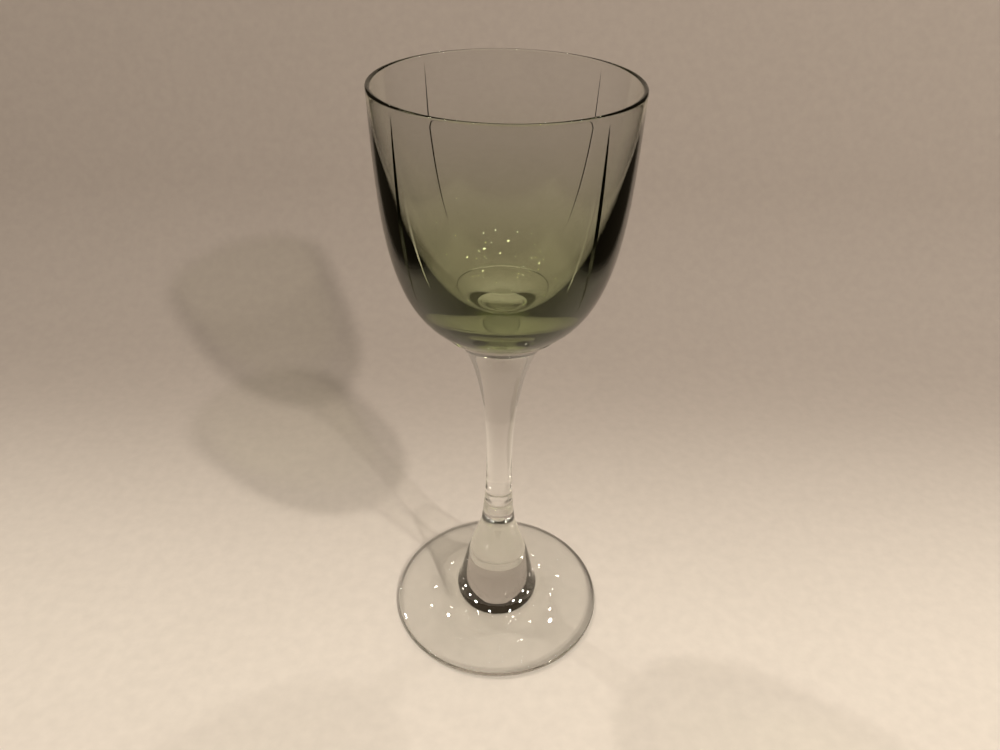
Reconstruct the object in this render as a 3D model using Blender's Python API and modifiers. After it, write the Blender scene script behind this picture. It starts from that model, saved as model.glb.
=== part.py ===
"""Hock wine glass: a pale green blown bowl fused to a clear drawn stem and a clear spread foot.

Metres, +Z up. The origin is the centre of the foot's flat underside, on the glass's own axis.
Each piece is turned: an outline beside the axis, swept round it by a Screw modifier.
"""

import math

import bmesh
import bpy
from mathutils import Vector

GLASS_HEIGHT = 0.1660

# Clearance left between two pieces that are fused hot on the real glass.
FUSED_GAP = 0.0003

# Bowl, from the rim down. Its outside and its inside are each a superellipse.
RIM_RADIUS = 0.03075
RIM_WALL = 0.00105
BOWL_DEPTH = 0.0635
BOWL_DRAFT = 0.0015
BOWL_SIDE_POWER = 3.55
BOWL_BASE_POWER = 3.06
BASE_THICKNESS = 0.0053
HOLLOW_SIDE_POWER = 2.06
HOLLOW_BASE_POWER = 2.4

# Mitre-cut lines down the outside of the bowl.
CUT_COUNT = 4
CUT_TURN = math.radians(41.6)
CUT_BELOW_RIM = 0.0020
CUT_LENGTH = 0.0440
CUT_DEPTH = 0.00035
CUT_HALF_ANGLE = math.radians(55.0)
CUT_RUN_OUT = 0.0001
CUTTER_STAND_OFF = 0.0006

# Domed face where the stem is welded on the foot's neck.
WELD_HEIGHT = 0.0340
WELD_RADIUS = 0.0052
WELD_RISE = 0.0017

# Stem, from its slim waist up to the wide foil of glass under the bowl.
WAIST_RADIUS = 0.00373
WAIST_ABOVE_WELD = 0.0240
STEM_FLARE = 0.0084
STEM_FLARE_POWER = 2.4
STEM_LIP = 0.0042
STEM_LIP_POWER = 12.0
STEM_LIP_EDGE = 0.0005

# Foot, with the bell-shaped neck that rises from it to the weld.
FOOT_RADIUS = 0.0325
FOOT_EDGE_THICKNESS = 0.0020
FOOT_TOP_RISE = 0.0008
NECK_FLARE = 0.0077
NECK_BELLY = 0.0009
NECK_LIP = 0.0093
NECK_LIP_POWER = 16.0

# Facets round the axis, and points along the outlines.
BOWL_STEPS = 48
STEM_STEPS = 32
FOOT_STEPS = 48
WALL_POINTS = 18
ROUND_POINTS = 6
FLARE_POINTS = 18
SCREW_MERGE = 0.0001

GREEN_GLASS = (0.33, 0.42, 0.22, 1.0)
CLEAR_GLASS = (0.80, 0.80, 0.76, 1.0)
GLASS_ROUGHNESS = 0.02


def clear_scene():
    """Remove every object of the startup scene."""
    for obj in list(bpy.data.objects):
        bpy.data.objects.remove(obj, do_unlink=True)


def new_collection(name):
    """Return a new collection, linked to the scene."""
    collection = bpy.data.collections.new(name)
    bpy.context.scene.collection.children.link(collection)
    return collection


def glass_material(name, colour):
    """Return a clear dielectric of one colour."""
    material = bpy.data.materials.new(name)
    material.use_nodes = True
    shader = material.node_tree.nodes["Principled BSDF"]
    shader.inputs["Base Color"].default_value = colour
    shader.inputs["Roughness"].default_value = GLASS_ROUGHNESS
    shader.inputs["Metallic"].default_value = 0.0
    shader.inputs["Transmission Weight"].default_value = 1.0
    return material


def spread(count):
    """Yield count + 1 numbers from 0 to 1, closer together towards 1."""
    for index in range(count + 1):
        yield math.sin(0.5 * math.pi * index / count)


def superellipse(share, radius, draft, side_power, base_power):
    """Radius of a cup at a share of its depth below the rim."""
    closing = max(0.0, 1.0 - share**side_power) ** (1.0 / base_power)
    return (radius - draft * share) * closing


def bowl_outside(share):
    """(radius, height) on the outside of the bowl at a share of its depth."""
    radius = superellipse(share, RIM_RADIUS, BOWL_DRAFT, BOWL_SIDE_POWER, BOWL_BASE_POWER)
    return radius, GLASS_HEIGHT - BOWL_DEPTH * share


def bowl_hollow(share):
    """(radius, height) on the inside of the bowl at a share of its depth."""
    radius = superellipse(share, RIM_RADIUS - RIM_WALL, 0.0, HOLLOW_SIDE_POWER, HOLLOW_BASE_POWER)
    return radius, GLASS_HEIGHT - (BOWL_DEPTH - BASE_THICKNESS) * share


def bowl_share_at(radius):
    """Share of the bowl's depth where its outside has this radius, found by halving."""
    low, high = 0.0, 1.0
    for _ in range(50):
        middle = 0.5 * (low + high)
        if bowl_outside(middle)[0] > radius:
            low = middle
        else:
            high = middle
    return low


def stem_radius(share):
    """Radius of the stem above its waist: a long sweep and a short lip under the bowl."""
    return WAIST_RADIUS + STEM_FLARE * share**STEM_FLARE_POWER + STEM_LIP * share**STEM_LIP_POWER


def neck_radius(share):
    """Radius of the neck below the weld: a cone with a slight belly and a lip into the foot."""
    belly = NECK_BELLY * math.sin(math.pi * share)
    return WELD_RADIUS + NECK_FLARE * share + belly + NECK_LIP * share**NECK_LIP_POWER


def bowl_outline():
    """Outline of the bowl: up the hollow, over the round rim, and down the outside."""
    half_wall = 0.5 * RIM_WALL
    shoulder = GLASS_HEIGHT - half_wall
    hollow = [bowl_hollow(share) for share in spread(WALL_POINTS)]
    outside = [bowl_outside(share) for share in spread(WALL_POINTS)]
    outline = [point for point in reversed(hollow) if point[1] < shoulder - half_wall]
    for index in range(ROUND_POINTS + 1):
        angle = math.pi * (1.0 - index / ROUND_POINTS)
        radius = RIM_RADIUS - half_wall + half_wall * math.cos(angle)
        outline.append((radius, shoulder + half_wall * math.sin(angle)))
    outline.extend(point for point in outside if point[1] < shoulder - half_wall)
    return outline


def weld_face(lift):
    """Points of the weld between stem and neck, from its middle to its edge, raised by lift."""
    face = []
    for index in range(ROUND_POINTS + 1):
        share = index / ROUND_POINTS
        face.append((WELD_RADIUS * share, WELD_HEIGHT + WELD_RISE * (1.0 - share**2) + lift))
    return face


def stem_outline():
    """Outline of the stem: out under the bowl, round the lip, down to the weld and in along it."""
    first_share = bowl_share_at(stem_radius(1.0))
    outline = []
    for index in range(ROUND_POINTS + 1):
        share = 1.0 - (1.0 - first_share) * (index / ROUND_POINTS) ** 2
        radius, height = bowl_outside(share)
        outline.append((radius, height - FUSED_GAP))
    lip_height = outline[-1][1] - STEM_LIP_EDGE
    weld = weld_face(FUSED_GAP)
    waist_height = weld[-1][1] + WAIST_ABOVE_WELD
    for share in reversed(list(spread(FLARE_POINTS))[1:]):
        outline.append((stem_radius(share), waist_height + (lip_height - waist_height) * share))
    for index in range(ROUND_POINTS):
        share = index / ROUND_POINTS
        radius = WAIST_RADIUS + (WELD_RADIUS - WAIST_RADIUS) * share**2
        outline.append((radius, waist_height - WAIST_ABOVE_WELD * share))
    outline.extend(reversed(weld))
    return outline


def foot_outline():
    """Outline of the foot: down the neck, out over the foot, and round its edge."""
    edge_round = 0.5 * FOOT_EDGE_THICKNESS
    flat_height = FOOT_EDGE_THICKNESS + FOOT_TOP_RISE
    outline = weld_face(0.0)
    for share in list(spread(FLARE_POINTS))[1:]:
        outline.append((neck_radius(share), WELD_HEIGHT + (flat_height - WELD_HEIGHT) * share))
    for index in range(ROUND_POINTS + 1):
        angle = math.pi * (0.5 - index / ROUND_POINTS)
        radius = FOOT_RADIUS - edge_round + edge_round * math.cos(angle)
        outline.append((radius, edge_round + edge_round * math.sin(angle)))
    outline.append((0.0, 0.0))
    return outline


def turned(name, outline, steps, material, collection):
    """Sweep an outline of (radius, height) points round the axis into a closed solid."""
    mesh = bpy.data.meshes.new(name)
    points = [(radius, 0.0, height) for radius, height in outline]
    edges = [(index, index + 1) for index in range(len(points) - 1)]
    mesh.from_pydata(points, edges, [])
    mesh.materials.append(material)
    obj = bpy.data.objects.new(name, mesh)
    collection.objects.link(obj)
    screw = obj.modifiers.new("Turn", "SCREW")
    screw.axis = "Z"
    screw.angle = 2.0 * math.pi
    screw.steps = steps
    screw.render_steps = steps
    screw.use_merge_vertices = True
    screw.merge_threshold = SCREW_MERGE
    screw.use_smooth_shade = True
    return obj


def cut_section(share):
    """Three corners of the V that the cutting wheel leaves at a share of the cut's length."""
    depth_share = (CUT_BELOW_RIM + CUT_LENGTH * share) / BOWL_DEPTH
    radius, height = bowl_outside(depth_share)
    depth = (CUT_DEPTH + CUT_RUN_OUT) * math.sin(math.pi * share) - CUT_RUN_OUT
    half_width = (depth + CUTTER_STAND_OFF) * math.tan(CUT_HALF_ANGLE)
    outer = radius + CUTTER_STAND_OFF
    return [
        Vector((radius - depth, 0.0, height)),
        Vector((outer, -half_width, height)),
        Vector((outer, half_width, height)),
    ]


def cutter_mesh():
    """Loft the V sections into the closed wedge that cuts one line."""
    shape = bmesh.new()
    rings = []
    for index in range(WALL_POINTS + 1):
        rings.append([shape.verts.new(corner) for corner in cut_section(index / WALL_POINTS)])
    for upper, lower in zip(rings, rings[1:]):
        for side in range(len(upper)):
            after = (side + 1) % len(upper)
            shape.faces.new((upper[side], upper[after], lower[after], lower[side]))
    shape.faces.new(rings[0])
    shape.faces.new(rings[-1])
    bmesh.ops.recalc_face_normals(shape, faces=shape.faces)
    mesh = bpy.data.meshes.new("mitre_wedge")
    shape.to_mesh(mesh)
    shape.free()
    return mesh


def cut_lines(bowl, cutters):
    """Cut the evenly spaced lines into the bowl."""
    mesh = cutter_mesh()
    for index in range(CUT_COUNT):
        cutter = bpy.data.objects.new(f"mitre_wedge_{index + 1}", mesh)
        cutter.rotation_euler.z = CUT_TURN + 2.0 * math.pi * index / CUT_COUNT
        cutter.hide_render = True
        cutter.display_type = "WIRE"
        cutters.objects.link(cutter)
    cut = bowl.modifiers.new("Mitre cuts", "BOOLEAN")
    cut.operation = "DIFFERENCE"
    cut.solver = "EXACT"
    cut.operand_type = "COLLECTION"
    cut.collection = cutters


def build():
    """Build the three pieces of the glass."""
    clear_scene()
    parts = new_collection("hock_wine_glass")
    cutters = new_collection("cutters")
    green = glass_material("pale_green_glass", GREEN_GLASS)
    clear = glass_material("clear_glass", CLEAR_GLASS)
    bowl = turned("bowl", bowl_outline(), BOWL_STEPS, green, parts)
    cut_lines(bowl, cutters)
    turned("stem", stem_outline(), STEM_STEPS, clear, parts)
    turned("foot", foot_outline(), FOOT_STEPS, clear, parts)


build()
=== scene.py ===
"""Studio scene of a hock wine glass: green cut bowl, clear drawn stem and clear spread foot.

The three glass pieces are turned afresh, finer than the solids that they stand for. Their sizes are those
of the solids, but for slightly deeper cut lines, a crease in the stem and a ring of air in the weld.
Where two pieces are fused, their touching faces let light pass unbent, as one body of glass does.
"""

import logging
import math
from dataclasses import dataclass, field
from enum import Enum
from typing import ClassVar

import bmesh
import bpy
from mathutils import Matrix, Vector


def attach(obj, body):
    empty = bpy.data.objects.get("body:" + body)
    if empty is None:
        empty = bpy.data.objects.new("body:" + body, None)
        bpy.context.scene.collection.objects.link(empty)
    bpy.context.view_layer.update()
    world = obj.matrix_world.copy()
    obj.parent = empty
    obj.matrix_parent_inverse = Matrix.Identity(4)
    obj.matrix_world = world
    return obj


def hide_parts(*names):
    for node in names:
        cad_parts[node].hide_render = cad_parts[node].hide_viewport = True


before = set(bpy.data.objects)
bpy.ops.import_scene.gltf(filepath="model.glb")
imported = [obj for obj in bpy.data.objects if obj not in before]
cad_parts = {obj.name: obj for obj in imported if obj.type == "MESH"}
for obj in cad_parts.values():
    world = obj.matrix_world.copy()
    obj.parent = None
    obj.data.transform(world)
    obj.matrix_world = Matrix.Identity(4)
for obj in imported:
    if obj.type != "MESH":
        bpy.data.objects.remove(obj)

LOG = logging.getLogger("hock_wine_glass")

BODY = "root"

# Names of the attributes that the outlines carry into the turned meshes.
FUSED = "fused"
FUSED_POINTS = "fused_points"
OUTSIDE = "outside"
ROUNDED = "rounded"

# Space between two fused faces: enough to keep them apart, too little to see.
HAIR = 0.00003
SHARP_ANGLE = math.radians(24.0)
MERGE_DISTANCE = 0.0000005

PHOTO_WIDTH = 1000.0


class Slot(Enum):
    """Material slots of the stored part."""

    GREEN = "green_glass"
    CLEAR = "clear_glass"


class Wiring:
    """Places and joins the nodes of one tree."""

    def __init__(self, tree: bpy.types.NodeTree) -> None:
        """Keep the tree that the nodes go into.

        Args:
            tree: A geometry or shader node tree.
        """
        self.tree = tree

    def node(self, kind: str, **settings: object) -> bpy.types.Node:
        """Add a node.

        Args:
            kind: The node's type name.
            settings: Properties to set on it.

        Returns:
            The new node.
        """
        made = self.tree.nodes.new(kind)
        for name, value in settings.items():
            setattr(made, name, value)
        return made

    def feed(self, socket: bpy.types.NodeSocket, value: object) -> None:
        """Link a socket into another, or write a plain value on it.

        Args:
            socket: The input to feed.
            value: An output socket, or a plain value.
        """
        if isinstance(value, bpy.types.NodeSocket):
            self.tree.links.new(value, socket)
        else:
            socket.default_value = value

    def math(self, operation: str, *values: object) -> bpy.types.NodeSocket:
        """Add a Math node.

        Args:
            operation: The operation's name.
            values: Its inputs, in order.

        Returns:
            The node's result.
        """
        made = self.node("ShaderNodeMath", operation=operation)
        for socket, value in zip(made.inputs, values):
            self.feed(socket, value)
        return made.outputs[0]

    def between(self, value: object, start: float, end: float) -> bpy.types.NodeSocket:
        """Ease from 0 to 1 as a value goes from start to end.

        Args:
            value: The value, as a socket or a number.
            start: Where the ease begins.
            end: Where it ends.

        Returns:
            The eased share.
        """
        made = self.node("ShaderNodeMapRange", interpolation_type="SMOOTHSTEP")
        for socket, given in zip(("Value", "From Min", "From Max"), (value, start, end)):
            self.feed(made.inputs[socket], given)
        return made.outputs["Result"]


@dataclass
class Outline:
    """Half section of a turned piece: points beside the axis, down its outer side."""

    points: list[tuple[float, float]] = field(default_factory=list)
    fused: list[float] = field(default_factory=list)
    outside: list[float] = field(default_factory=list)
    rounded: list[float] = field(default_factory=list)

    def add(self, radius: float, height: float, fused: bool = False, outside: bool = False,
            rounded: bool = False) -> None:
        """Add one point.

        Args:
            radius: Distance from the axis.
            height: Height above the table.
            fused: Whether the point lies on a face that is fused to the next piece.
            outside: Whether cut lines may reach the point.
            rounded: Whether the point lies on a small round edge, which throws a dark line of shadow.
        """
        self.points.append((max(radius, 0.0), height))
        self.fused.append(float(fused))
        self.outside.append(float(outside))
        self.rounded.append(float(rounded))

    def mesh(self, name: str) -> bpy.types.Mesh:
        """Make the outline a chain of edges that carries its marks.

        Args:
            name: Name of the mesh.

        Returns:
            The mesh.
        """
        made = bpy.data.meshes.new(name)
        places = [(radius, 0.0, height) for radius, height in self.points]
        made.from_pydata(places, [(i, i + 1) for i in range(len(places) - 1)], [])
        marks = ((FUSED_POINTS, self.fused), (OUTSIDE, self.outside), (ROUNDED, self.rounded))
        for mark, values in marks:
            made.attributes.new(mark, "FLOAT", "POINT").data.foreach_set("value", values)
        return made


@dataclass(frozen=True)
class Cuts:
    """Mitre cuts: V-shaped lines, ground along the outside and fine at both ends."""

    count: int = 1
    turn: float = 0.0
    top: float = 0.0
    length: float = 1.0
    depth: float = 0.0
    half_width: float = 0.0
    fullness: float = 0.7


class Lathe:
    """Geometry Nodes tree that turns an outline round the axis and grinds the cuts into it."""

    HAIR_WIDTH: ClassVar[float] = 0.00002
    SMALLEST_RADIUS: ClassVar[float] = 0.004
    CUT_COLUMNS: ClassVar[float] = 0.06
    ROUNDING: ClassVar[float] = 0.00003

    def __init__(self) -> None:
        """Build the tree once, for every piece."""
        self.tree = bpy.data.node_groups.new("turned_glass", "GeometryNodeTree")
        self.add_sockets()
        self.wire()

    def add_sockets(self) -> None:
        """Name the tree's inputs and its output."""
        face = self.tree.interface
        face.new_socket("Outline", in_out="INPUT", socket_type="NodeSocketGeometry")
        for name in ("Columns", "Cut Count"):
            face.new_socket(name, in_out="INPUT", socket_type="NodeSocketInt")
        for name in ("Cut Turn", "Cut Top", "Cut Length", "Cut Depth", "Cut Half Width", "Cut Fullness"):
            face.new_socket(name, in_out="INPUT", socket_type="NodeSocketFloat")
        face.new_socket("Glass", in_out="INPUT", socket_type="NodeSocketMaterial")
        face.new_socket("Piece", in_out="OUTPUT", socket_type="NodeSocketGeometry")

    @staticmethod
    def sampled(w: Wiring, outline: bpy.types.NodeSocket, kind: str, value: object,
                row: bpy.types.NodeSocket) -> bpy.types.NodeSocket:
        """Read a value from the outline's point at a row.

        Args:
            w: The tree's wiring.
            outline: The outline's geometry.
            kind: Data type of the value.
            value: The field to read.
            row: Index of the point.

        Returns:
            The value at that point.
        """
        sample = w.node("GeometryNodeSampleIndex", data_type=kind, domain="POINT")
        w.feed(sample.inputs["Geometry"], outline)
        w.feed(sample.inputs["Value"], value)
        w.feed(sample.inputs["Index"], row)
        return sample.outputs[0]

    @staticmethod
    def named(w: Wiring, name: str) -> bpy.types.NodeSocket:
        """Read a named number of the geometry.

        Args:
            w: The tree's wiring.
            name: The attribute's name.

        Returns:
            The attribute as a field.
        """
        made = w.node("GeometryNodeInputNamedAttribute", data_type="FLOAT")
        made.inputs["Name"].default_value = name
        return made.outputs["Attribute"]

    @staticmethod
    def stored(w: Wiring, geometry: bpy.types.NodeSocket, name: str, domain: str,
               value: bpy.types.NodeSocket) -> bpy.types.NodeSocket:
        """Write a field to a named attribute.

        Args:
            w: The tree's wiring.
            geometry: The geometry to write on.
            name: The attribute's name.
            domain: POINT or FACE.
            value: The field.

        Returns:
            The geometry with the attribute.
        """
        made = w.node("GeometryNodeStoreNamedAttribute", data_type="FLOAT", domain=domain)
        w.feed(made.inputs["Geometry"], geometry)
        made.inputs["Name"].default_value = name
        w.feed(made.inputs["Value"], value)
        return made.outputs["Geometry"]

    def wire(self) -> None:
        """Turn a grid into the piece: each row is a point of the outline, each column an angle."""
        w = Wiring(self.tree)
        given = w.node("NodeGroupInput").outputs
        outline = given["Outline"]
        size = w.node("GeometryNodeAttributeDomainSize", component="MESH")
        w.feed(size.inputs["Geometry"], outline)
        rows = size.outputs["Point Count"]
        grid = w.node("GeometryNodeMeshGrid")
        w.feed(grid.inputs["Size X"], 1.0)
        w.feed(grid.inputs["Size Y"], 1.0)
        w.feed(grid.inputs["Vertices X"], rows)
        w.feed(grid.inputs["Vertices Y"], w.math("ADD", given["Columns"], 1.0))
        place = w.node("ShaderNodeSeparateXYZ")
        w.feed(place.inputs[0], w.node("GeometryNodeInputPosition").outputs[0])
        share_down = w.math("ADD", place.outputs["X"], 0.5)
        share_round = w.math("ADD", place.outputs["Y"], 0.5)
        row = w.math("ROUND", w.math("MULTIPLY", share_down, w.math("SUBTRACT", rows, 1.0)))
        position = w.node("GeometryNodeInputPosition").outputs[0]
        point = w.node("ShaderNodeSeparateXYZ")
        w.feed(point.inputs[0], self.sampled(w, outline, "FLOAT_VECTOR", position, row))
        radius, height = point.outputs["X"], point.outputs["Z"]
        outside = self.sampled(w, outline, "FLOAT", self.named(w, OUTSIDE), row)
        fused = self.sampled(w, outline, "FLOAT", self.named(w, FUSED_POINTS), row)
        rounded = self.sampled(w, outline, "FLOAT", self.named(w, ROUNDED), row)

        along = w.math("DIVIDE", w.math("SUBTRACT", given["Cut Top"], height), given["Cut Length"])
        within = w.math("MAXIMUM", w.math("MINIMUM", along, 1.0), 0.0)
        swell = w.math("MAXIMUM", w.math("SINE", w.math("MULTIPLY", within, math.pi)), 0.0)
        swell = w.math("MULTIPLY", w.math("POWER", swell, given["Cut Fullness"]), outside)
        half_width = w.math("MAXIMUM", w.math("MULTIPLY", given["Cut Half Width"], swell), self.HAIR_WIDTH)
        half_angle = w.math("DIVIDE", half_width, w.math("MAXIMUM", radius, self.SMALLEST_RADIUS))

        sector = w.math("DIVIDE", 2.0 * math.pi, given["Cut Count"])
        turned = w.math("MULTIPLY", share_round, given["Cut Count"])
        number = w.math("FLOOR", turned)
        across = w.math("MULTIPLY_ADD", w.math("SUBTRACT", turned, number), 2.0, -1.0)
        side = w.math("SIGN", across)
        reach = w.math("ABSOLUTE", across)
        in_cut = w.math("MINIMUM", w.math("DIVIDE", reach, self.CUT_COLUMNS), 1.0)
        past_cut = w.math("DIVIDE", w.math("MAXIMUM", w.math("SUBTRACT", reach, self.CUT_COLUMNS), 0.0),
                          1.0 - self.CUT_COLUMNS)
        rest = w.math("SUBTRACT", w.math("MULTIPLY", sector, 0.5), half_angle)
        offset = w.math("MULTIPLY_ADD", in_cut, half_angle, w.math("MULTIPLY", past_cut, rest))
        cut_angle = w.math("MULTIPLY_ADD", number, sector, given["Cut Turn"])
        angle = w.math("MULTIPLY_ADD", side, offset, cut_angle)
        deepest = w.math("MULTIPLY", given["Cut Depth"], swell)
        notch = w.math("MULTIPLY", deepest, w.math("SUBTRACT", 1.0, in_cut))
        ground = w.math("SUBTRACT", radius, notch)

        where = w.node("ShaderNodeCombineXYZ")
        w.feed(where.inputs["X"], w.math("MULTIPLY", ground, w.math("COSINE", angle)))
        w.feed(where.inputs["Y"], w.math("MULTIPLY", ground, w.math("SINE", angle)))
        w.feed(where.inputs["Z"], height)
        marked = self.stored(w, grid.outputs["Mesh"], FUSED_POINTS, "POINT", fused)
        marked = self.stored(w, marked, ROUNDED, "POINT", rounded)
        moved = w.node("GeometryNodeSetPosition")
        w.feed(moved.inputs["Geometry"], marked)
        w.feed(moved.inputs["Position"], where.outputs[0])
        whole_face = w.math("FLOOR", w.math("ADD", self.named(w, FUSED_POINTS), self.ROUNDING))
        faced = self.stored(w, moved.outputs[0], FUSED, "FACE", whole_face)
        cleaned = w.node("GeometryNodeRemoveAttribute")
        w.feed(cleaned.inputs["Geometry"], faced)
        w.feed(cleaned.inputs["Name"], FUSED_POINTS)
        closed = w.node("GeometryNodeMergeByDistance")
        w.feed(closed.inputs["Geometry"], cleaned.outputs[0])
        w.feed(closed.inputs["Distance"], MERGE_DISTANCE)
        smooth = w.node("GeometryNodeSetShadeSmooth")
        w.feed(smooth.inputs["Geometry"], closed.outputs[0])
        real = w.node("GeometryNodeRealizeInstances")
        w.feed(real.inputs["Geometry"], smooth.outputs[0])
        dressed = w.node("GeometryNodeSetMaterial")
        w.feed(dressed.inputs["Geometry"], real.outputs[0])
        w.feed(dressed.inputs["Material"], given["Glass"])
        w.feed(w.node("NodeGroupOutput").inputs["Piece"], dressed.outputs[0])

    def turn(self, name: str, outline: Outline, columns: int, cuts: Cuts,
             glass: bpy.types.Material) -> bpy.types.Object:
        """Turn an outline into a finished piece.

        Args:
            name: Name of the piece.
            outline: Its half section.
            columns: Facets round the axis, a multiple of the cuts' count.
            cuts: The lines to grind.
            glass: Its material.

        Returns:
            The piece, as a plain closed mesh.
        """
        piece = bpy.data.objects.new(name, outline.mesh(name + "_outline"))
        bpy.context.scene.collection.objects.link(piece)
        modifier = piece.modifiers.new("Turn", "NODES")
        modifier.node_group = self.tree
        values = {
            "Columns": columns, "Cut Count": cuts.count, "Cut Turn": cuts.turn, "Cut Top": cuts.top,
            "Cut Length": cuts.length, "Cut Depth": cuts.depth, "Cut Half Width": cuts.half_width,
            "Cut Fullness": cuts.fullness, "Glass": glass,
        }
        for item in self.tree.interface.items_tree:
            if item.in_out == "INPUT" and item.name in values:
                modifier[item.identifier] = values[item.name]
        graph = bpy.context.evaluated_depsgraph_get()
        made = bpy.data.meshes.new_from_object(piece.evaluated_get(graph), depsgraph=graph)
        made.name = name
        made.materials.pop(index=0)
        piece.modifiers.remove(modifier)
        piece.data = made
        self.face_outwards(made)
        made.set_sharp_from_angle(angle=SHARP_ANGLE)
        return piece

    @staticmethod
    def face_outwards(mesh: bpy.types.Mesh) -> None:
        """Point every face of a closed mesh outwards.

        Args:
            mesh: The mesh.
        """
        shape = bmesh.new()
        shape.from_mesh(mesh)
        bmesh.ops.recalc_face_normals(shape, faces=shape.faces)
        shape.to_mesh(mesh)
        shape.free()


@dataclass(frozen=True)
class GlassFinish:
    """Hand-worked glass: its tint by depth, the ripple of a surface shaped hot, and the shadow it casts."""

    SLANT_START: ClassVar[float] = 0.45
    SLANT_END: ClassVar[float] = 0.85

    name: str
    tint: tuple[float, float, float]
    density: float
    ripple_scale: float
    ripple_height: float
    haze: float
    shadow: tuple[float, float, float]
    edge_shadow: float
    gloss_tint: tuple[float, float, float] = (1.0, 1.0, 1.0)
    round_shadow: float = 0.35
    ior: float = 1.5

    def material(self, surface: bpy.types.NodeTree) -> bpy.types.Material:
        """Make the material.

        Args:
            surface: The shared group of the worked surface.

        Returns:
            The material.
        """
        made = bpy.data.materials.new(self.name)
        made.use_nodes = True
        w = Wiring(made.node_tree)
        shader = made.node_tree.nodes["Principled BSDF"]
        shader.inputs["Base Color"].default_value = (1.0, 1.0, 1.0, 1.0)
        shader.inputs["Transmission Weight"].default_value = 1.0
        shader.inputs["Metallic"].default_value = 0.0
        shader.inputs["IOR"].default_value = self.ior
        shader.inputs["Specular Tint"].default_value = (*self.gloss_tint, 1.0)
        worked = w.node("ShaderNodeGroup", node_tree=surface)
        worked.inputs["Ripple Scale"].default_value = self.ripple_scale
        worked.inputs["Ripple Height"].default_value = self.ripple_height
        worked.inputs["Haze"].default_value = self.haze
        w.feed(shader.inputs["Roughness"], worked.outputs["Roughness"])
        w.feed(shader.inputs["Normal"], worked.outputs["Normal"])
        joint = w.node("ShaderNodeAttribute", attribute_name=FUSED)
        w.feed(shader.inputs["Alpha"], w.math("SUBTRACT", 1.0, joint.outputs["Fac"]))
        self.let_lamps_through(w, shader)
        body = w.node("ShaderNodeVolumeAbsorption")
        body.inputs["Color"].default_value = (*self.tint, 1.0)
        body.inputs["Density"].default_value = self.density
        w.feed(made.node_tree.nodes["Material Output"].inputs["Volume"], body.outputs[0])
        return made

    def let_lamps_through(self, w: Wiring, shader: bpy.types.Node) -> None:
        """Let lamplight fall through the glass, less at a slant and at a round edge.

        Args:
            w: The material's wiring.
            shader: The material's own shader.
        """
        slant = w.node("ShaderNodeMapRange")
        w.feed(slant.inputs["Value"], w.node("ShaderNodeLayerWeight").outputs["Facing"])
        w.feed(slant.inputs["From Min"], self.SLANT_START)
        w.feed(slant.inputs["From Max"], self.SLANT_END)
        w.feed(slant.inputs["To Min"], 1.0)
        w.feed(slant.inputs["To Max"], self.edge_shadow)
        rounded = w.node("ShaderNodeAttribute", attribute_name=ROUNDED).outputs["Fac"]
        passed = w.math("MULTIPLY_ADD", rounded, self.round_shadow - 1.0, 1.0)
        kept = w.node("ShaderNodeVectorMath", operation="SCALE")
        w.feed(kept.inputs[0], self.shadow)
        w.feed(kept.inputs["Scale"], w.math("MULTIPLY", slant.outputs["Result"], passed))
        pane = w.node("ShaderNodeBsdfTransparent")
        w.feed(pane.inputs["Color"], kept.outputs[0])
        path = w.node("ShaderNodeLightPath")
        shown = shader.outputs[0]
        for ray in ("Is Shadow Ray", "Is Diffuse Ray"):
            both = w.node("ShaderNodeMixShader")
            w.feed(both.inputs[0], path.outputs[ray])
            w.feed(both.inputs[1], shown)
            w.feed(both.inputs[2], pane.outputs[0])
            shown = both.outputs[0]
        w.feed(w.tree.nodes["Material Output"].inputs["Surface"], shown)


GREEN_GLASS = GlassFinish(
    name="pale_green_glass",
    tint=(0.347, 0.413, 0.080),
    density=127.0,
    ripple_scale=70.0,
    ripple_height=0.00002,
    haze=0.012,
    shadow=(0.83, 0.845, 0.81),
    edge_shadow=0.25,
    gloss_tint=(0.92, 1.0, 0.55),
)
CLEAR_GLASS = GlassFinish(
    name="drawn_clear_glass",
    tint=(0.94, 0.94, 0.925),
    density=80.0,
    ripple_scale=90.0,
    ripple_height=0.00002,
    haze=0.012,
    shadow=(0.91, 0.91, 0.90),
    edge_shadow=0.35,
)


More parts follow.
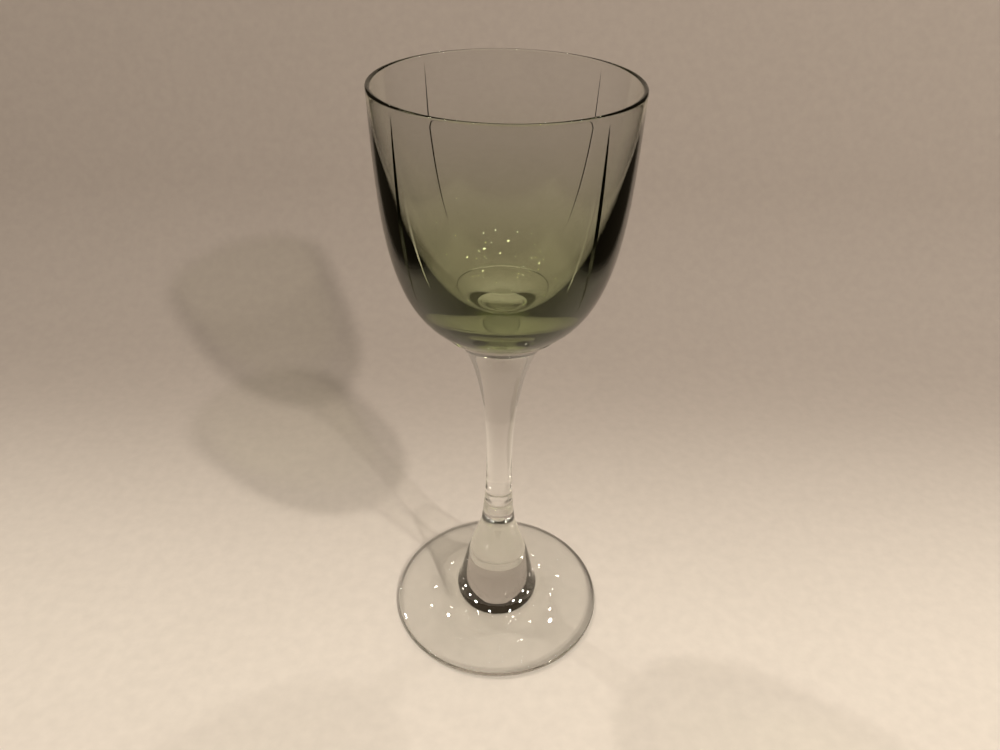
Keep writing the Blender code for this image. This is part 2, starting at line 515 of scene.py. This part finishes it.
@dataclass(frozen=True)
class WorkedSurface:
    """Surface shaped hot: long low ripples and a trace of haze, as one group for both glasses."""

    ripple_detail: float = 1.0
    ripple_roughness: float = 0.3
    haze_scale: float = 60.0
    haze_detail: float = 4.0
    haze_range: tuple[float, float] = (0.5, 0.75)

    def group(self) -> bpy.types.NodeTree:
        """Build the group.

        Returns:
            The shader node group.
        """
        made = bpy.data.node_groups.new("worked_surface", "ShaderNodeTree")
        for name in ("Ripple Scale", "Ripple Height", "Haze"):
            made.interface.new_socket(name, in_out="INPUT", socket_type="NodeSocketFloat")
        made.interface.new_socket("Roughness", in_out="OUTPUT", socket_type="NodeSocketFloat")
        made.interface.new_socket("Normal", in_out="OUTPUT", socket_type="NodeSocketVector")
        w = Wiring(made)
        given = w.node("NodeGroupInput").outputs
        place = w.node("ShaderNodeTexCoord").outputs["Object"]
        ripple = w.node("ShaderNodeTexNoise")
        w.feed(ripple.inputs["Vector"], place)
        w.feed(ripple.inputs["Scale"], given["Ripple Scale"])
        w.feed(ripple.inputs["Detail"], self.ripple_detail)
        w.feed(ripple.inputs["Roughness"], self.ripple_roughness)
        bump = w.node("ShaderNodeBump")
        w.feed(bump.inputs["Strength"], 1.0)
        w.feed(bump.inputs["Distance"], given["Ripple Height"])
        w.feed(bump.inputs["Height"], ripple.outputs[0])
        wiped = w.node("ShaderNodeTexNoise")
        w.feed(wiped.inputs["Vector"], place)
        w.feed(wiped.inputs["Scale"], self.haze_scale)
        w.feed(wiped.inputs["Detail"], self.haze_detail)
        patch = w.node("ShaderNodeMapRange")
        w.feed(patch.inputs["Value"], wiped.outputs[0])
        w.feed(patch.inputs["From Min"], self.haze_range[0])
        w.feed(patch.inputs["From Max"], self.haze_range[1])
        out = w.node("NodeGroupOutput")
        w.feed(out.inputs["Roughness"], w.math("MULTIPLY", patch.outputs["Result"], given["Haze"]))
        w.feed(out.inputs["Normal"], bump.outputs["Normal"])
        return made


def eased(count: int) -> list[float]:
    """Spread shares from 0 to 1, closer together towards 1.

    Args:
        count: Number of steps.

    Returns:
        The shares.
    """
    return [math.sin(0.5 * math.pi * i / count) for i in range(count + 1)]


@dataclass
class Bowl:
    """Blown bowl of pale green glass, with its rim, thick base and mitre cuts."""

    HALVINGS: ClassVar[int] = 50
    LEAST_STEP: ClassVar[float] = 0.001

    height: float = 0.1660
    rim_radius: float = 0.03075
    wall: float = 0.00105
    depth: float = 0.0635
    draft: float = 0.0015
    side_power: float = 3.55
    base_power: float = 3.06
    base: float = 0.0053
    hollow_side_power: float = 2.06
    hollow_base_power: float = 2.4
    cuts: Cuts = Cuts(count=4, turn=math.radians(41.6), top=0.1640, length=0.0440, depth=0.00045,
                      half_width=0.0006)
    inside_rows: int = 84
    rim_rows: int = 12
    outside_rows: int = 104
    columns: int = 400

    def outer(self, share: float) -> tuple[float, float]:
        """Find a point on the outside.

        Args:
            share: Share of the bowl's depth, from the rim.

        Returns:
            Radius and height.
        """
        closing = max(0.0, 1.0 - share**self.side_power) ** (1.0 / self.base_power)
        return (self.rim_radius - self.draft * share) * closing, self.height - self.depth * share

    def inner(self, share: float) -> tuple[float, float]:
        """Find a point on the inside.

        Args:
            share: Share of the hollow's depth, from the rim.

        Returns:
            Radius and height.
        """
        closing = max(0.0, 1.0 - share**self.hollow_side_power) ** (1.0 / self.hollow_base_power)
        return (self.rim_radius - self.wall) * closing, self.height - (self.depth - self.base) * share

    def share_at(self, radius: float) -> float:
        """Find where the outside has a radius, by halving.

        Args:
            radius: The radius.

        Returns:
            Share of the bowl's depth.
        """
        low, high = 0.0, 1.0
        for _ in range(self.HALVINGS):
            middle = 0.5 * (low + high)
            low, high = (middle, high) if self.outer(middle)[0] > radius else (low, middle)
        return low

    def outline(self, joint_radius: float) -> Outline:
        """Draw the half section: up the hollow, over the rim and down the outside.

        Args:
            joint_radius: Radius of the face that is fused to the stem.

        Returns:
            The outline.
        """
        made = Outline()
        half = 0.5 * self.wall
        shoulder = self.height - half
        for share in reversed(eased(self.inside_rows)):
            radius, height = self.inner(share)
            if height < shoulder - half:
                made.add(radius, height)
        for i in range(self.rim_rows + 1):
            angle = math.pi * (1.0 - i / self.rim_rows)
            made.add(self.rim_radius - half + half * math.cos(angle), shoulder + half * math.sin(angle),
                     rounded=0 < i < self.rim_rows)
        edge = self.share_at(joint_radius)
        shares = [share for share in eased(self.outside_rows) if abs(share - edge) > self.LEAST_STEP]
        for share in sorted(shares + [edge]):
            radius, height = self.outer(share)
            if height < shoulder - half:
                made.add(radius, height, fused=share >= edge, outside=True)
        return made

    def build(self, lathe: Lathe, glass: bpy.types.Material, joint_radius: float) -> bpy.types.Object:
        """Turn the bowl.

        Args:
            lathe: The turning tree.
            glass: Its material.
            joint_radius: Radius of the face that is fused to the stem.

        Returns:
            The piece.
        """
        return lathe.turn("cut_bowl", self.outline(joint_radius), self.columns, self.cuts, glass)


@dataclass(frozen=True)
class Weld:
    """Domed face where the stem is welded on the foot's neck, with a thin ring of air caught in it."""

    height: float = 0.0340
    radius: float = 0.0052
    rise: float = 0.0017
    air_start: float = 0.0013
    air_end: float = 0.0041
    rows: int = 32

    def trace(self, made: Outline, lift: float, outwards: bool) -> None:
        """Draw the face into an outline.

        Args:
            made: The outline to add to.
            lift: Height to add, which keeps the two sides of the weld apart.
            outwards: Whether to draw from the axis to the edge.
        """
        steps = range(self.rows + 1)
        for i in steps if outwards else reversed(steps):
            share = i / self.rows
            reach = self.radius * share
            made.add(reach, self.height + self.rise * (1.0 - share**2) + lift,
                     fused=not self.air_start < reach < self.air_end)


@dataclass
class Stem:
    """Clear stem, drawn out to a slim waist, spread under the bowl and creased above the weld."""

    waist: float = 0.00373
    waist_above_weld: float = 0.0240
    flare: float = 0.0084
    flare_power: float = 2.4
    lip: float = 0.0042
    lip_power: float = 12.0
    lip_edge: float = 0.0005
    crease_above_weld: float = 0.0090
    crease_depth: float = 0.00026
    crease_width: float = 0.00045
    contact_rows: int = 24
    flare_rows: int = 110
    waist_rows: int = 160
    columns: int = 192

    @property
    def joint_radius(self) -> float:
        """Radius of the face that is fused to the bowl."""
        return self.waist + self.flare + self.lip

    def outline(self, bowl: Bowl, weld: Weld) -> Outline:
        """Draw the half section: out under the bowl, down to the weld and in along it.

        Args:
            bowl: The bowl above.
            weld: The joint with the foot's neck.

        Returns:
            The outline.
        """
        made = Outline()
        edge = bowl.share_at(self.joint_radius)
        for i in range(self.contact_rows + 1):
            radius, height = bowl.outer(1.0 - (1.0 - edge) * (i / self.contact_rows) ** 2)
            made.add(radius, height - HAIR, fused=True)
        waist_height = weld.height + HAIR + self.waist_above_weld
        rise = made.points[-1][1] - self.lip_edge - waist_height
        for share in reversed(eased(self.flare_rows)[1:]):
            spread = self.flare * share**self.flare_power + self.lip * share**self.lip_power
            made.add(self.waist + spread, waist_height + rise * share)
        swell = weld.radius - self.waist
        for i in range(self.waist_rows):
            share = i / self.waist_rows
            above_crease = self.waist_above_weld * (1.0 - share) - self.crease_above_weld
            crease = self.crease_depth * math.exp(-((above_crease / self.crease_width) ** 2))
            made.add(self.waist + swell * share**2 - crease, waist_height - self.waist_above_weld * share)
        weld.trace(made, HAIR, outwards=False)
        return made

    def build(self, lathe: Lathe, glass: bpy.types.Material, bowl: Bowl, weld: Weld) -> bpy.types.Object:
        """Turn the stem.

        Args:
            lathe: The turning tree.
            glass: Its material.
            bowl: The bowl above.
            weld: The joint with the foot's neck.

        Returns:
            The piece.
        """
        return lathe.turn("drawn_stem", self.outline(bowl, weld), self.columns, Cuts(), glass)


@dataclass
class Foot:
    """Clear foot, spread flat, with a bell-shaped neck that rises to the weld."""

    radius: float = 0.0325
    edge: float = 0.0020
    top_rise: float = 0.0008
    flare: float = 0.0077
    belly: float = 0.0009
    lip: float = 0.0093
    lip_power: float = 16.0
    flare_rows: int = 96
    slope_rows: int = 12
    edge_rows: int = 14
    columns: int = 256

    def outline(self, weld: Weld) -> Outline:
        """Draw the half section: down the neck, out over the foot and round its edge.

        Args:
            weld: The joint with the stem.

        Returns:
            The outline.
        """
        made = Outline()
        half = 0.5 * self.edge
        flat = self.edge + self.top_rise
        weld.trace(made, 0.0, outwards=True)
        for share in eased(self.flare_rows)[1:]:
            spread = self.flare * share + self.lip * share**self.lip_power
            belly = self.belly * math.sin(math.pi * share)
            made.add(weld.radius + spread + belly, weld.height + (flat - weld.height) * share)
        inner_end = weld.radius + self.flare + self.lip
        outer_end = self.radius - half
        for i in range(1, self.slope_rows):
            share = i / self.slope_rows
            made.add(inner_end + (outer_end - inner_end) * share, flat - self.top_rise * share)
        for i in range(self.edge_rows + 1):
            angle = math.pi * (0.5 - i / self.edge_rows)
            made.add(outer_end + half * math.cos(angle), half + half * math.sin(angle),
                     rounded=0 < i < self.edge_rows)
        made.add(0.0, 0.0)
        return made

    def build(self, lathe: Lathe, glass: bpy.types.Material, weld: Weld) -> bpy.types.Object:
        """Turn the foot.

        Args:
            lathe: The turning tree.
            glass: Its material.
            weld: The joint with the stem.

        Returns:
            The piece.
        """
        return lathe.turn("spread_foot", self.outline(weld), self.columns, Cuts(), glass)


@dataclass(frozen=True)
class Lamp:
    """One round lamp of the studio, hung round the glass."""

    name: str
    bearing: float
    elevation: float
    power: float
    distance: float = 1.6
    radius: float = 0.03
    colour: tuple[float, float, float] = (1.0, 0.92, 0.80)

    def hang(self) -> None:
        """Hang the lamp: its bearing is in degrees from the camera's side, to the right."""
        bearing, elevation = math.radians(self.bearing), math.radians(self.elevation)
        light = bpy.data.lights.new(self.name, "POINT")
        light.energy = self.power
        light.shadow_soft_size = self.radius
        light.color = self.colour
        holder = bpy.data.objects.new(self.name, light)
        flat, height = self.distance * math.cos(elevation), self.distance * math.sin(elevation)
        holder.location = (flat * math.sin(bearing), -flat * math.cos(bearing), height)
        bpy.context.scene.collection.objects.link(holder)


@dataclass(frozen=True)
class BulbRing:
    """Small bulbs spaced evenly round the glass, whose reflections sparkle in it."""

    count: int
    elevation: float
    first_bearing: float
    power: float = 1.2
    radius: float = 0.02

    def hang(self) -> None:
        """Hang each bulb of the ring."""
        for i in range(self.count):
            bearing = self.first_bearing + 360.0 * i / self.count
            name = f"bulb_{self.elevation:.0f}_{i + 1}"
            Lamp(name, bearing, self.elevation, self.power, radius=self.radius).hang()


@dataclass(frozen=True)
class PaperShadeFade:
    """Painted shade on the paper: its tone darkens between two places, towards the back or towards the
    camera.
    """

    tone: tuple[float, float, float]
    start: float
    end: float


@dataclass
class Studio:
    """Pale paper sweep with shade painted towards the back and the front, lamps, dim room and the camera.
    """

    FIRST_REFLECTION: ClassVar[float] = 0.5

    near_paper: tuple[float, float, float] = (0.86, 0.795, 0.73)
    # Painted shade: the paper's tone darkens behind the glass, higher up the wall and towards the camera.
    painted_shades: tuple[PaperShadeFade, ...] = (
        PaperShadeFade(tone=(0.40, 0.345, 0.31), start=-0.045, end=0.15),
        PaperShadeFade(tone=(0.30, 0.255, 0.225), start=0.30, end=0.60),
        PaperShadeFade(tone=(0.40, 0.37, 0.34), start=-0.15, end=-0.65),
    )
    paper_roughness: float = 0.9
    mottle_scale: float = 260.0
    mottle_detail: float = 3.0
    mottle_range: tuple[float, float] = (0.3, 0.7)
    mottle_shade: tuple[float, float] = (0.97, 1.03)
    floor_gap: float = 0.0001
    sheet_side: tuple[float, float] = (0.155, 0.205)
    sheet_front: tuple[float, float] = (-0.235, -0.185)
    flag_front: tuple[float, float] = (0.09, 0.12)
    flag_start: tuple[float, float] = (0.13, 0.16)
    flag_end: tuple[float, float] = (0.50, 0.60)
    half_width: float = 1.5
    front: float = -1.5
    bend_start: float = 0.10
    bend_radius: float = 0.12
    bend_angle: float = math.radians(62.0)
    wall: float = 0.9
    bend_steps: int = 24
    room: tuple[float, float, float] = (0.045, 0.034, 0.022)
    distance_tone: tuple[float, float, float] = (0.30, 0.245, 0.195)
    lamps: tuple[Lamp, ...] = (
        Lamp("key", bearing=36.0, elevation=38.5, power=36.0),
        Lamp("key_upper", bearing=46.0, elevation=55.0, power=26.0),
        Lamp("back_right", bearing=140.0, elevation=58.0, power=8.0),
        Lamp("back_left", bearing=230.0, elevation=58.0, power=14.0),
    )
    bulb_rings: tuple[BulbRing, ...] = (
        BulbRing(count=9, elevation=40.0, first_bearing=15.0),
        BulbRing(count=10, elevation=52.0, first_bearing=26.0),
        BulbRing(count=7, elevation=66.0, first_bearing=10.0),
    )
    eye: tuple[float, float, float] = (0.0, -0.18070, 0.21262)
    pitch: float = math.radians(34.54)
    yaw: float = math.radians(-0.08)
    roll: float = math.radians(1.10)
    focal_pixels: float = 805.7
    sensor: float = 36.0
    nearest_seen: float = 0.005
    indirect_clamp: float = 80.0
    glass_bounces: int = 24
    glossy_bounces: int = 12
    clear_bounces: int = 16

    def sweep_profile(self) -> list[tuple[float, float]]:
        """Draw the sweep from the side.

        Returns:
            Points (y, z) from the front of the floor to the top of the wall.
        """
        low = -self.floor_gap
        profile = [(self.front, low), (self.bend_start, low)]
        for i in range(1, self.bend_steps + 1):
            angle = self.bend_angle * i / self.bend_steps
            profile.append((self.bend_start + self.bend_radius * math.sin(angle),
                            low + self.bend_radius * (1.0 - math.cos(angle))))
        y, z = profile[-1]
        back, rise = self.wall * math.cos(self.bend_angle), self.wall * math.sin(self.bend_angle)
        profile.append((y + back, z + rise))
        return profile

    def paper_material(self) -> bpy.types.Material:
        """Make the paper of the sweep: pale, matt, faintly mottled, and with shade painted on it towards
        the back and towards the camera.

        Returns:
            The material.
        """
        made = bpy.data.materials.new("pale_paper")
        made.use_nodes = True
        w = Wiring(made.node_tree)
        shader = made.node_tree.nodes["Principled BSDF"]
        shader.inputs["Roughness"].default_value = self.paper_roughness
        place = w.node("ShaderNodeTexCoord").outputs["Object"]
        depth = w.node("ShaderNodeSeparateXYZ")
        w.feed(depth.inputs[0], place)
        sheet: object = self.near_paper
        # Paint the shade: blend the paper towards each darker tone in turn.
        for fade in self.painted_shades:
            blend = w.node("ShaderNodeMix", data_type="VECTOR")
            w.feed(blend.inputs["Factor"], w.between(depth.outputs["Y"], fade.start, fade.end))
            w.feed(blend.inputs[4], sheet)
            w.feed(blend.inputs[5], fade.tone)
            sheet = blend.outputs[1]
        mottle = w.node("ShaderNodeTexNoise")
        w.feed(mottle.inputs["Vector"], place)
        w.feed(mottle.inputs["Scale"], self.mottle_scale)
        w.feed(mottle.inputs["Detail"], self.mottle_detail)
        shade = w.node("ShaderNodeMapRange")
        w.feed(shade.inputs["Value"], mottle.outputs[0])
        limits = (*self.mottle_range, *self.mottle_shade)
        for socket, limit in zip(("From Min", "From Max", "To Min", "To Max"), limits):
            w.feed(shade.inputs[socket], limit)
        grain = w.node("ShaderNodeVectorMath", operation="SCALE")
        w.feed(grain.inputs[0], sheet)
        w.feed(grain.inputs["Scale"], shade.outputs["Result"])
        w.feed(shader.inputs["Base Color"], grain.outputs[0])
        open_room = w.node("ShaderNodeBsdfTransparent")
        shown = w.node("ShaderNodeMixShader")
        w.feed(shown.inputs[0], self.mirrored_share(w, depth))
        w.feed(shown.inputs[1], open_room.outputs[0])
        w.feed(shown.inputs[2], shader.outputs[0])
        w.feed(made.node_tree.nodes["Material Output"].inputs["Surface"], shown.outputs[0])
        return made

    def mirrored_share(self, w: Wiring, place: bpy.types.Node) -> bpy.types.NodeSocket:
        """Tell how much of the paper shows: all of it past the glass, and in the glass less at the sides.

        The glass mirrors only a sheet under it, which fades out at its edges. Straight through the glass
        all the paper shows but two dark flags at the back, one on each side, which draw its edges.

        Args:
            w: The paper's wiring.
            place: The node that gives the place on the paper.

        Returns:
            The share of the paper that shows.
        """
        aside, back = w.math("ABSOLUTE", place.outputs["X"]), place.outputs["Y"]
        inside = w.math("SUBTRACT", 1.0, w.between(aside, *self.sheet_side))
        sheet = w.math("MULTIPLY", inside, w.between(back, *self.sheet_front))
        reach = w.math("SUBTRACT", w.between(aside, *self.flag_start), w.between(aside, *self.flag_end))
        unflagged = w.math("SUBTRACT", 1.0, w.math("MULTIPLY", reach, w.between(back, *self.flag_front)))
        in_glass = w.node("ShaderNodeMix", data_type="FLOAT")
        w.feed(in_glass.inputs[0], self.seen_through(w))
        w.feed(in_glass.inputs[2], sheet)
        w.feed(in_glass.inputs[3], unflagged)
        path = w.node("ShaderNodeLightPath").outputs
        past_glass = w.math("MAXIMUM", path["Is Camera Ray"], path["Is Diffuse Ray"])
        return w.math("MAXIMUM", in_glass.outputs[0], past_glass)

    def seen_through(self, w: Wiring) -> bpy.types.NodeSocket:
        """Tell what is seen straight through the glass from what is mirrored in it.

        Args:
            w: The wiring of the paper or the room.

        Returns:
            1 for a ray that has passed the glass without a reflection, or else 0.
        """
        path = w.node("ShaderNodeLightPath").outputs
        straight = w.math("LESS_THAN", path["Glossy Depth"], self.FIRST_REFLECTION)
        return w.math("MULTIPLY", path["Is Transmission Ray"], straight)

    def lay_sweep(self) -> bpy.types.Object:
        """Lay the paper sweep.

        Returns:
            The sweep.
        """
        profile = self.sweep_profile()
        points = [(x, y, z) for y, z in profile for x in (-self.half_width, self.half_width)]
        faces = [(2 * i, 2 * i + 1, 2 * i + 3, 2 * i + 2) for i in range(len(profile) - 1)]
        mesh = bpy.data.meshes.new("paper_sweep")
        mesh.from_pydata(points, [], faces)
        mesh.shade_smooth()
        mesh.materials.append(self.paper_material())
        sweep = bpy.data.objects.new("paper_sweep", mesh)
        sweep.visible_shadow = False
        bpy.context.scene.collection.objects.link(sweep)
        return sweep

    def dim_room(self) -> None:
        """Fill the room with a faint warm light; past and straight through the glass it looks pale."""
        world = bpy.data.worlds.new("dim_room")
        world.use_nodes = True
        w = Wiring(world.node_tree)
        dim = world.node_tree.nodes["Background"]
        dim.inputs["Color"].default_value = (*self.room, 1.0)
        pale = w.node("ShaderNodeBackground")
        pale.inputs["Color"].default_value = (*self.distance_tone, 1.0)
        seen = w.node("ShaderNodeMixShader")
        camera = w.node("ShaderNodeLightPath").outputs["Is Camera Ray"]
        w.feed(seen.inputs[0], w.math("MAXIMUM", camera, self.seen_through(w)))
        w.feed(seen.inputs[1], dim.outputs[0])
        w.feed(seen.inputs[2], pale.outputs[0])
        w.feed(world.node_tree.nodes["World Output"].inputs["Surface"], seen.outputs[0])
        bpy.context.scene.world = world

    def set_camera(self) -> None:
        """Stand the camera where the photograph was taken."""
        lens = bpy.data.cameras.new("camera")
        lens.sensor_fit = "HORIZONTAL"
        lens.sensor_width = self.sensor
        lens.lens = self.focal_pixels / PHOTO_WIDTH * self.sensor
        lens.clip_start = self.nearest_seen
        level = math.cos(self.pitch)
        ahead = Vector((level * math.sin(self.yaw), level * math.cos(self.yaw), -math.sin(self.pitch)))
        right = ahead.cross(Vector((0.0, 0.0, 1.0))).normalized()
        up = right.cross(ahead)
        rolled_right = right * math.cos(self.roll) + up * math.sin(self.roll)
        rolled_up = up * math.cos(self.roll) - right * math.sin(self.roll)
        turn = Matrix((rolled_right, rolled_up, -ahead)).transposed().to_4x4()
        turn.translation = Vector(self.eye)
        camera = bpy.data.objects.new("camera", lens)
        camera.matrix_world = turn
        bpy.context.scene.collection.objects.link(camera)
        bpy.context.scene.camera = camera

    def set_light_paths(self) -> None:
        """Let light pass often enough through thick glass, and keep stray bright dots down."""
        scene = bpy.context.scene
        scene.view_settings.view_transform = "Standard"
        scene.cycles.sample_clamp_indirect = self.indirect_clamp
        scene.cycles.max_bounces = self.glass_bounces
        scene.cycles.transmission_bounces = self.glass_bounces
        scene.cycles.glossy_bounces = self.glossy_bounces
        scene.cycles.transparent_max_bounces = self.clear_bounces

    def build(self) -> bpy.types.Object:
        """Set up the whole studio.

        Returns:
            The paper sweep, which isn't part of the glass.
        """
        for light in (*self.lamps, *self.bulb_rings):
            light.hang()
        self.dim_room()
        self.set_camera()
        self.set_light_paths()
        return self.lay_sweep()


def place(piece: bpy.types.Object, node: str, slot: Slot) -> None:
    """Let a piece stand for its node, on the part's one body.

    Args:
        piece: The finished piece.
        node: The solid that it stands for.
        slot: The stored finish of its node; not used.
    """
    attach(piece, BODY)
    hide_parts(node)
    LOG.info("%s stands for %s with %d faces", piece.name, node, len(piece.data.polygons))


def main() -> None:
    """Build the glass and its studio."""
    logging.basicConfig(level=logging.INFO, format="%(name)s: %(message)s")
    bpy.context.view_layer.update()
    surface = WorkedSurface().group()
    green, clear = GREEN_GLASS.material(surface), CLEAR_GLASS.material(surface)
    lathe = Lathe()
    bowl, stem, weld, foot = Bowl(), Stem(), Weld(), Foot()
    place(bowl.build(lathe, green, stem.joint_radius), "bowl", Slot.GREEN)
    place(stem.build(lathe, clear, bowl, weld), "stem", Slot.CLEAR)
    place(foot.build(lathe, clear, weld), "foot", Slot.CLEAR)
    Studio().build()


if __name__ == "__main__":
    main()
